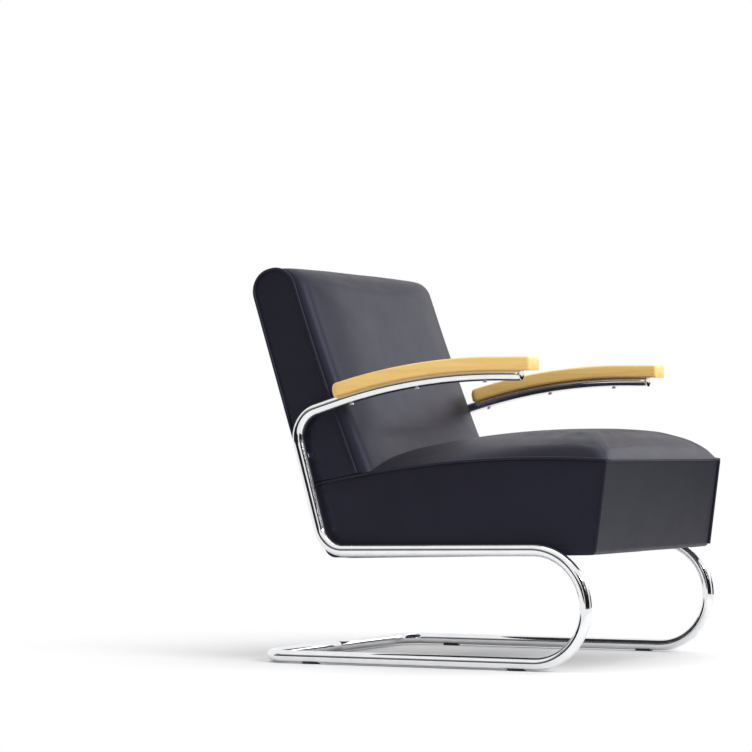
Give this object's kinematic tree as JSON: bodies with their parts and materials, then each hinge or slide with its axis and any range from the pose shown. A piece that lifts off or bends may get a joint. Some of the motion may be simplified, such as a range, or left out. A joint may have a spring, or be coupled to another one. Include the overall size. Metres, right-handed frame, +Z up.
{
  "type": "cantilever lounge chair",
  "caption": "Upholstered lounge chair on a bent steel tube frame that springs from floor runners, with curved wooden armrests and a padded seat block and back.",
  "frame": {"origin": "middle of the base, on the floor", "axes": "+Z up, the chair faces -Y, +X is the sitter's left"},
  "size_m": [0.67, 0.8276, 0.8333],
  "materials": {
    "chromed_steel": "polished",
    "oiled_wood": "satin",
    "leather": "satin",
    "padded_leather": "satin",
    "frame_board": "matte",
    "webbing": "matte",
    "filling": "matte",
    "dust_cloth": "matte",
    "black_plastic": "matte",
    "zinc_steel": "satin"
  },
  "bodies": {
    "root": {"left_side_tube": "chromed_steel", "right_side_tube": "chromed_steel", "floor_bar_sleeve": "zinc_steel", "tube_end_caps": "chromed_steel", "floor_glides": "black_plastic", "left_armrest": "oiled_wood", "right_armrest": "oiled_wood", "armrest_screws": "zinc_steel", "left_side_board": "frame_board", "right_side_board": "frame_board", "seat_front_rail": "frame_board", "seat_rear_rail": "frame_board", "seat_corner_blocks": "frame_board", "back_low_rail": "frame_board", "back_top_rail": "frame_board", "seat_straps": "webbing", "back_straps": "webbing", "seat_foam": "filling", "seat_padding": "filling", "back_foam": "filling", "back_padding": "filling", "seat_top_pad": "padded_leather", "seat_cover_band": "leather", "seat_welts": "leather", "seat_dust_cover": "dust_cloth", "back_cover": "padded_leather", "left_back_panel": "leather", "right_back_panel": "leather", "left_back_welt": "leather", "right_back_welt": "leather", "mounting_studs": "zinc_steel", "spacers": "chromed_steel", "stud_nuts": "zinc_steel"}
  },
  "joints": []
}
